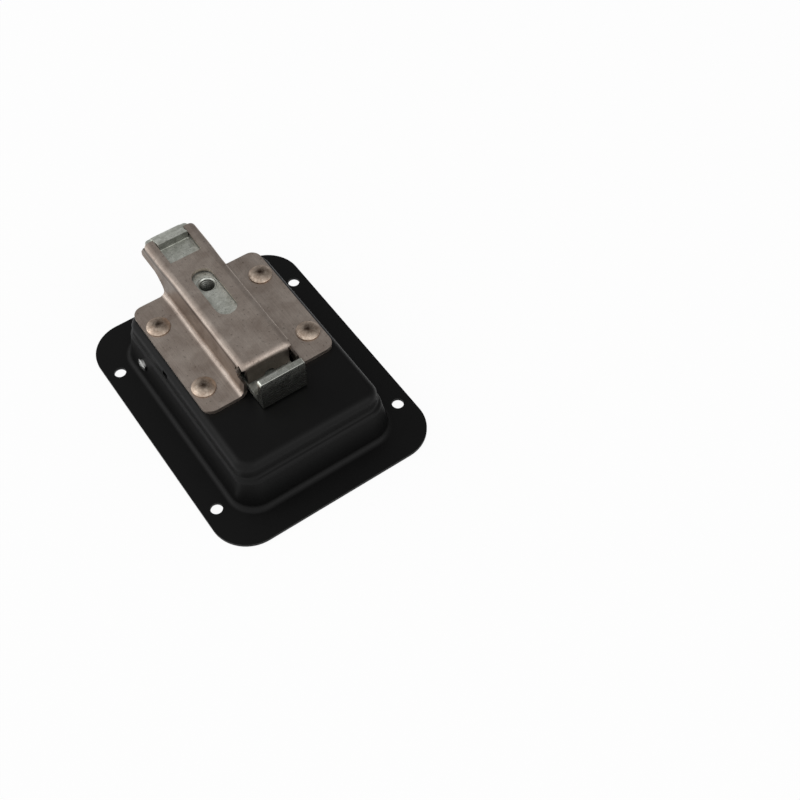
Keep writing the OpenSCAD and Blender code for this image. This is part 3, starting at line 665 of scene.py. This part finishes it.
def makeHousing():
    h = housingShape
    c, t = h["channelHalf"], h["sheet"]
    tailY = h["tabY"] + h["tabBend"]
    slope = math.radians(h["shoulderSlope"])
    shoulderIn = h["shoulderR"] * math.tan(slope / 2)      # how far each bend runs from its fold line
    cornerIn = h["cornerR"] * math.tan(math.pi / 4 - slope / 2)
    shoulderX = h["flatHalf"] + shoulderIn
    cornerZ = h["topZ"] - (c - shoulderX) * math.tan(slope)
    bm = bmesh.new()
    half = [(h["wingHalf"], h["wingZ"]), (c, h["wingZ"]), (c, cornerZ), (shoulderX, h["topZ"])]
    outline = [(-x, z) for x, z in half] + half[::-1]
    verts = [bm.verts.new((x, h["wingY0"], z)) for x, z in outline]
    edges = [bm.edges.new(pair) for pair in zip(verts, verts[1:])]
    flare0, flare1 = h["flareY"]
    count = int((h["noseY"] - flare0) / h["noseStep"])
    stations = [flare0 + (h["noseY"] - flare0) * i / count for i in range(count + 1)]
    stations = sorted(stations + [h["wingY0"], tailY, h["wingY1"]])
    for y0, y1 in zip(stations, stations[1:]):
        edges = extrudeEdges(bm, edges, (0, y1 - y0, 0))
    for (x, z), run in zip(half[1:], (h["footBend"], cornerIn, shoulderIn)):
        foldEdges(bm, run, h["bendSteps"], lambda p: abs(p.z - z) < 0.01 and abs(abs(p.x) - x) < 0.01)
    bmesh.ops.bisect_plane(bm, geom=bm.verts[:] + bm.edges[:] + bm.faces[:], plane_co=(0, 0, h["cheekZ"]),
                           plane_no=(0, 0, 1))
    # wings stop short of the nose, and the top stops where the tab is folded down
    gone = []
    for face in bm.faces:
        p = face.calc_center_median()
        if p.y > h["wingY1"] and abs(p.x) > c + h["footBend"] - 0.01:
            gone.append(face)
        if p.y < tailY and p.z > h["cheekZ"]:
            gone.append(face)
    bmesh.ops.delete(bm, geom=gone, context="FACES")
    end = [e for e in bm.edges if e.is_boundary and all(abs(v.co.y - tailY) < 0.01 and v.co.z > cornerZ for v in e.verts)
           and abs(e.verts[0].co.x + e.verts[1].co.x) / 2 < h["tabTopHalf"]]
    end = extrudeEdges(bm, end, (0, h["tabY"] - tailY, 0))
    extrudeEdges(bm, end, (0, 0, h["tabZ0"] - h["topZ"]))
    foldEdges(bm, h["tabBend"], h["bendSteps"], lambda p: p.z > cornerZ and abs(p.y - h["tabY"]) < 0.01)
    bmesh.ops.remove_doubles(bm, verts=bm.verts, dist=0.001)
    leanTop, noseLow = cornerZ - cornerIn, h["topZ"] - h["noseWall"]
    z = h["wingZ"] + 0.5
    while z < noseLow + h["lipH"]:      # rows of points for the shape of the nose walls
        near = [f for f in bm.faces if f.calc_center_median().y > h["wingY1"]]
        geom = near + list({e for f in near for e in f.edges}) + list({v for f in near for v in f.verts})
        bmesh.ops.bisect_plane(bm, geom=geom, plane_co=(0, 0, z), plane_no=(0, 0, 1))
        z += 0.5
    sweepY, sweepZ = h["wingY1"] + h["sweepR"], noseLow - h["sweepR"]
    for v in bm.verts:
        x, y, z = abs(v.co.x), v.co.y, v.co.z
        if x > h["flatHalf"] and x < c + h["footBend"] + 0.01:
            share = min(max((y - flare0) / (flare1 - flare0), 0), 1)
            out = h["flare"] * share * share * (3 - 2 * share)
            if x > c - 0.01 and z < leanTop:      # side walls lean out, and the foot bends go with them
                out += h["draft"] * (leanTop - z)
            if y > h["wingY1"]:
                edge = z - noseLow if y > sweepY else math.hypot(y - sweepY, z - sweepZ) - h["sweepR"]
                turn = 1 - min(max(edge, 0) / h["lipH"], 1)
                out += h["lipOut"] * turn * turn * min((y - h["wingY1"]) / 4, 1)
                reach = max((y - sweepY) / (h["noseY"] - sweepY), 0)
                v.co.y += h["noseReach"] * reach * reach * min(max(leanTop - z, 0) / (leanTop - noseLow), 1)
            v.co.x += math.copysign(out, v.co.x)
    faceOutwards(bm, (0, 20, -200))
    housing = makeObject("bolt_housing_folded", bm)
    thicken(housing, t)

    cut = bmesh.new()
    startY, endY, lowZ = h["wingY1"] + 0.02, h["noseY"] + h["noseReach"] + 1, h["wingZ"] - 4
    addPrism(cut, [(-40, startY, lowZ), (-40, startY, noseLow), (-40, endY, noseLow), (-40, endY, lowZ)],
             (80, 0, 0), {1: (h["sweepR"], 16)})
    addCornerCut(cut, (-40, h["noseY"] + h["noseReach"], noseLow), (0, -1, 0), (0, 0, 1), h["noseToeR"], (80, 0, 0))
    for side in (-1, 1):
        addCornerCut(cut, (side * (c + h["flare"]), h["noseY"], leanTop - 0.2), (-side, 0, 0), (0, -1, 0), h["noseR"], (0, 0, 5))
        for y, inward in ((h["wingY0"], 1), (h["wingY1"], -1)):
            addCornerCut(cut, (side * h["wingHalf"], y, lowZ), (-side, 0, 0), (0, inward, 0), h["wingR"], (0, 0, 8))
    addBox(cut, (-h["windowHalf"], h["noseY"] - h["windowL"], h["topZ"] - 3),
           (h["windowHalf"], h["noseY"] + 2, h["topZ"] + 1))
    addRoundedPrism(cut, 2 * h["slotHalf"], h["slotY1"] - h["slotY0"], h["slotHalf"] - 0.001,
                    (h["slotY0"] + h["slotY1"]) / 2, h["topZ"] - 3, h["topZ"] + 1)
    z0, z1 = h["reliefZ"]
    for side in (-1, 1):      # bend reliefs: the tab is narrower below its bend, and the walls end in a round notch
        x0, y1 = side * (h["tabHalf"] + 0.05), tailY + h["reliefL"]
        addPrism(cut, [(x0, tailY - 0.6, z1), (x0, tailY - 0.6, z0), (x0, y1, z0), (x0, y1, z1)],
                 (side * 6, 0, 0), {2: (h["reliefR"], 8), 3: (h["reliefR"], 8)})
        low, high = Vector((x0, h["tabY"] - 3, h["tabZ0"] - 1)), Vector((side * (c - 0.3), tailY + 0.4, z1))
        addBox(cut, (min(low.x, high.x), low.y, low.z), (max(low.x, high.x), high.y, high.z))
    addCylinder(cut, h["tabNotchR"], (0, h["tabY"] - 2, h["tabZ0"]), (0, h["tabY"] + 4, h["tabZ0"]), 32)
    for x in (-h["rivetX"], h["rivetX"]):
        for y in h["rivetY"]:
            addCylinder(cut, h["rivetR"], (x, y, h["wingZ"] - 4), (x, y, h["wingZ"] + 2), 32)
    combine(housing, cut, "DIFFERENCE")
    finishPiece(housing, satinSteel, "frame", ["bolt_housing"])


def addCornerCut(bm, corner, alongA, alongB, radius, depth):
    # what a rounded corner leaves over: alongA and alongB run from the corner along its two edges
    corner, a, b = Vector(corner), Vector(alongA), Vector(alongB)
    over = 4.0
    arc = [corner + a * u + b * v for u, v in arcPoints((radius, radius), radius, 270, 180, 10)]
    outline = [corner + a * radius - b * over] + arc + [corner + b * radius - a * over, corner - a * over - b * over]
    addPrism(bm, outline, depth)


def addRoundedPrism(bm, width, length, radius, middleY, z0, z1):
    known = set(bm.faces)
    roundedLoop(bm, width, length, radius, middleY, z0, 12, keepFace=True)
    face = next(f for f in bm.faces if f not in known)
    pushed = bmesh.ops.extrude_face_region(bm, geom=[face], use_keep_orig=True)["geom"]
    bmesh.ops.translate(bm, vec=(0, 0, z1 - z0), verts=[g for g in pushed if isinstance(g, bmesh.types.BMVert)])
    bmesh.ops.recalc_face_normals(bm, faces=bm.faces)


makeHousing()

# rivets: domed heads on the wings, clinched inside the pan

rivetShape = {
    "headR": 5.5, "headH": 2.2, "rimH": 0.6, "shankR": 2.75, "tailR": 4.3, "tailH": 1.6,
    "steps": 40,
}


def makeRivets():
    r, h = rivetShape, housingShape
    crown = r["headH"] - r["rimH"]
    dome = (r["headR"] ** 2 + crown ** 2) / (2 * crown)
    open_ = math.degrees(math.asin(r["headR"] / dome))
    head = arcPoints((0, h["wingZ"] + r["headH"] - dome), dome, 90, 90 - open_, 10)
    inside = panShape["pocketH"] - panShape["sheet"]
    profile = [(0.0001, head[0][1])] + head[1:] + [
        (r["headR"], h["wingZ"]), (r["shankR"], h["wingZ"]), (r["shankR"], inside), (r["tailR"], inside),
        (r["tailR"] - 0.8, inside - r["tailH"]), (0.0001, inside - r["tailH"])]
    bm = bmesh.new()
    for x in (-h["rivetX"], h["rivetX"]):
        for y in h["rivetY"]:
            one = bmesh.new()
            spinProfile(one, profile, (x, y, 0), (0, 0, 1), r["steps"])
            mesh = bpy.data.meshes.new("oneRivet")
            one.to_mesh(mesh)
            one.free()
            bm.from_mesh(mesh)
            bpy.data.meshes.remove(mesh)
    finishPiece(makeObject("housing_rivets_domed", bm), warmPlate, "frame", ["housing_rivets"], 0.2)


makeRivets()

# bolt: zinc plated strip with a joggle, an upright tail lug and a ramp at the nose

boltLow, boltHigh = nodeBox("latch_bolt")
boltShape = {
    "half": 11.1, "sheet": 3.0,
    "plateZ": 39.5, "tailZ": 30.0, "lugZ": boltHigh.z,
    "endY": boltHigh.y, "joggleY": 8.0, "lugY": boltLow.y,
    "joggleOuter": 4.0, "joggleInner": 1.0, "lugInner": 7.0, "lugOuter": 0.8, "lugR": 1.2, "noseR": 2.0,
    "rampHalf": 7.6, "rampL": 9.3, "rampUp": 1.6, "rampFall": 3.8,
    "bushY": 36.5, "spigotR": 4.55,
    "bendSteps": 8,
}


def makeBolt():
    b = boltShape
    bm = bmesh.new()
    t, w, steps = b["sheet"], b["half"], b["bendSteps"]
    lugBack, joggleBack = b["lugY"] + t, b["joggleY"] + t
    side = [(b["endY"], b["plateZ"] - t), (b["endY"], b["plateZ"]), (b["joggleY"], b["plateZ"]), (b["joggleY"], b["tailZ"]),
            (lugBack, b["tailZ"]), (lugBack, b["lugZ"]), (b["lugY"], b["lugZ"]), (b["lugY"], b["tailZ"] - t),
            (joggleBack, b["tailZ"] - t), (joggleBack, b["plateZ"] - t)]
    bends = {2: b["joggleOuter"], 3: b["joggleInner"], 4: b["lugInner"], 7: b["lugOuter"], 8: b["joggleOuter"], 9: b["joggleInner"]}
    addPrism(bm, [(-w, y, z) for y, z in side], (2 * w, 0, 0), {i: (r, steps) for i, r in bends.items()})
    corners = [e for e in bm.edges if all(v.co.z > b["lugZ"] - 0.01 for v in e.verts) and abs(e.verts[0].co.x - e.verts[1].co.x) < 0.01]
    bmesh.ops.bevel(bm, geom=corners, affect="EDGES", offset=b["lugR"], segments=steps, profile=0.5, material=-1)
    bolt = makeObject("latch_bolt_strip", bm)
    ramp = bmesh.new()
    top, back, r = housingShape["topZ"] + b["rampUp"], b["endY"] - b["rampL"], b["rampHalf"]
    addPrism(ramp, [(-r, back, b["plateZ"] - 1), (-r, b["endY"], b["plateZ"] - 1), (-r, b["endY"], top - b["rampFall"]), (-r, back, top)],
             (2 * r, 0, 0))
    combine(bolt, ramp, "UNION")
    cut = bmesh.new()
    addCylinder(cut, b["spigotR"], (0, b["bushY"], b["plateZ"] - 6), (0, b["bushY"], b["plateZ"] + 2))
    for x in (-1, 1):
        addCornerCut(cut, (x * w, b["endY"], b["plateZ"] - 6), (-x, 0, 0), (0, -1, 0), b["noseR"], (0, 0, 8))
    combine(bolt, cut, "DIFFERENCE")
    finishPiece(bolt, zincPlate, "bolt", ["latch_bolt"], 0.35)


makeBolt()

# threaded bush in the bolt

bushShape = {"threadR": 3.4, "chamferR": 4.0, "spigotR": 4.5, "collarR": 6.5, "collarL": 5.9, "threadPitch": 1.25, "steps": 48}


def makeBush():
    s, b = bushShape, boltShape
    z1 = b["plateZ"] - 0.05
    z0 = b["plateZ"] - b["sheet"]
    low = z0 - s["collarL"]
    turns = int((z1 - 0.7 - low) / s["threadPitch"])
    thread = []
    for i in range(turns):
        z = low + 0.3 + i * s["threadPitch"]
        thread += [(s["threadR"], z), (s["threadR"] + 0.5, z + 0.5 * s["threadPitch"])]
    profile = thread + [(s["threadR"], z1 - 0.6), (s["chamferR"], z1), (s["spigotR"], z1), (s["spigotR"], z0), (s["collarR"], z0),
                        (s["collarR"], low), (s["threadR"], low), thread[0]]
    bm = bmesh.new()
    spinProfile(bm, profile, (0, b["bushY"], 0), (0, 0, 1), s["steps"])
    finishPiece(makeObject("thread_bush_turned", bm), threadWithPaintedShade, "bolt", ["thread_bush"], 0.12)


makeBush()

# hinge pin with peened ends

pinLow, pinHigh = nodeBox("hinge_pin")
pinShape = {"radius": 2.5, "headR": (pinHigh.z - pinLow.z) / 2, "headT": 1.0, "half": pinHigh.x, "steps": 40}


def makePin():
    p = pinShape
    end = p["half"]
    one = [(0.0001, end), (1.6, end - 0.08), (2.4, end - 0.35), (p["headR"], end - 0.8), (p["headR"], end - p["headT"]), (p["radius"], end - p["headT"])]
    profile = one + [(r, -x) for r, x in reversed(one)]
    bm = bmesh.new()
    spinProfile(bm, profile, (0, panShape["pinY"], panShape["pinZ"]), (1, 0, 0), p["steps"])
    finishPiece(makeObject("hinge_pin_peened", bm), brightPin, "frame", ["hinge_pin"], 0.1)


makePin()

# springs: round wire wound with spin

springShape = {
    "wireR": 0.6, "coilR": 3.4, "closedPitch": 1.32, "turns": 6.5, "wireSides": 12, "turnSteps": 36,
    "torsionR": 3.9, "torsionX": -12.0, "torsionTurns": 4, "legAngles": (-80, 30),
    "paddleFace": 2.6, "legGap": 0.3, "boltTravel": 11.0,
}


def capEnds(bm):
    bmesh.ops.holes_fill(bm, edges=[e for e in bm.edges if e.is_boundary], sides=64)
    bmesh.ops.recalc_face_normals(bm, faces=bm.faces)


def windWire(bm, loop, centre, axis, turns, pitch):
    # carries the wire's section on by so many turns and hands back the end loop
    s = springShape
    steps = max(1, int(round(abs(turns) * s["turnSteps"])))
    made = bmesh.ops.spin(bm, geom=loop, cent=centre, axis=axis, dvec=Vector(axis) * pitch * abs(turns) / steps,
                          angle=2 * math.pi * turns, steps=steps)
    return made["geom_last"]


def makeBoltSpring():
    s = springShape
    low, high = nodeBox("bolt_spring")
    z = (low.z + high.z) / 2
    bm = bmesh.new()
    start = Vector((0, low.y + s["wireR"], z - s["coilR"]))
    loop = bmesh.ops.create_circle(bm, radius=s["wireR"], segments=s["wireSides"],
                                   matrix=Matrix.Translation(start) @ Matrix.Rotation(math.pi / 2, 4, "Y"))["verts"]
    loop = loop + [e for e in bm.edges]
    length = high.y - low.y - 2 * s["wireR"]
    open_ = (length - 2 * s["closedPitch"]) / (s["turns"] - 2)
    for turns, pitch in ((1, s["closedPitch"]), (s["turns"] - 2, open_), (1, s["closedPitch"])):
        loop = windWire(bm, loop, (0, 0, z), (0, 1, 0), turns, pitch)
    capEnds(bm)
    spring = makeObject("bolt_spring_wound", bm)
    finishPiece(spring, springWire, "bolt", ["bolt_spring"], 0)
    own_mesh(spring)


def makePaddleSpring():
    s = springShape
    p = panShape
    bm = bmesh.new()
    a0, a1 = (math.radians(a) for a in s["legAngles"])
    y, z = p["pinY"], p["pinZ"]
    start = Vector((s["torsionX"], y + s["torsionR"] * math.cos(a0), z + s["torsionR"] * math.sin(a0)))
    # section square to the wire, which leaves the coil along its tangent
    turn = Matrix.Rotation(a0, 4, "X")
    loop = bmesh.ops.create_circle(bm, radius=s["wireR"], segments=s["wireSides"], matrix=Matrix.Translation(start) @ turn)["verts"]
    edges = [e for e in bm.edges]
    leg = (start.z - s["paddleFace"] - s["wireR"] - s["legGap"]) / math.cos(a0)
    extrudeEdges(bm, edges, Vector((0, math.sin(a0), -math.cos(a0))) * leg)
    turns = s["torsionTurns"] + (a1 - a0) / (2 * math.pi)
    last = windWire(bm, loop + edges, (0, y, z), (1, 0, 0), turns, -s["closedPitch"])
    tip = [g for g in last if isinstance(g, bmesh.types.BMEdge)]
    endZ = z + s["torsionR"] * math.sin(a1)
    leg = (p["pocketH"] - p["sheet"] - s["wireR"] - s["legGap"] - endZ) / math.cos(a1)
    extrudeEdges(bm, tip, Vector((0, -math.sin(a1), math.cos(a1))) * leg)
    capEnds(bm)
    finishPiece(makeObject("paddle_spring_wound", bm), springWire, "handle", ["paddle_spring"], 0)


makeBoltSpring()
makePaddleSpring()


# paddle: the solid's own shape with smoothed bends and rounded edges

def makePaddle():
    bm = bmesh.new()
    bm.from_mesh(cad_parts["paddle"].data)
    bmesh.ops.remove_doubles(bm, verts=bm.verts, dist=0.001 * mm)
    bmesh.ops.dissolve_limit(bm, angle_limit=math.radians(0.5), verts=bm.verts, edges=bm.edges)
    bmesh.ops.scale(bm, vec=(1 / mm, 1 / mm, 1 / mm), verts=bm.verts)
    finishPiece(makeObject("paddle_pressed", bm), blackCoat, "handle", ["paddle"], 0.2)


makePaddle()
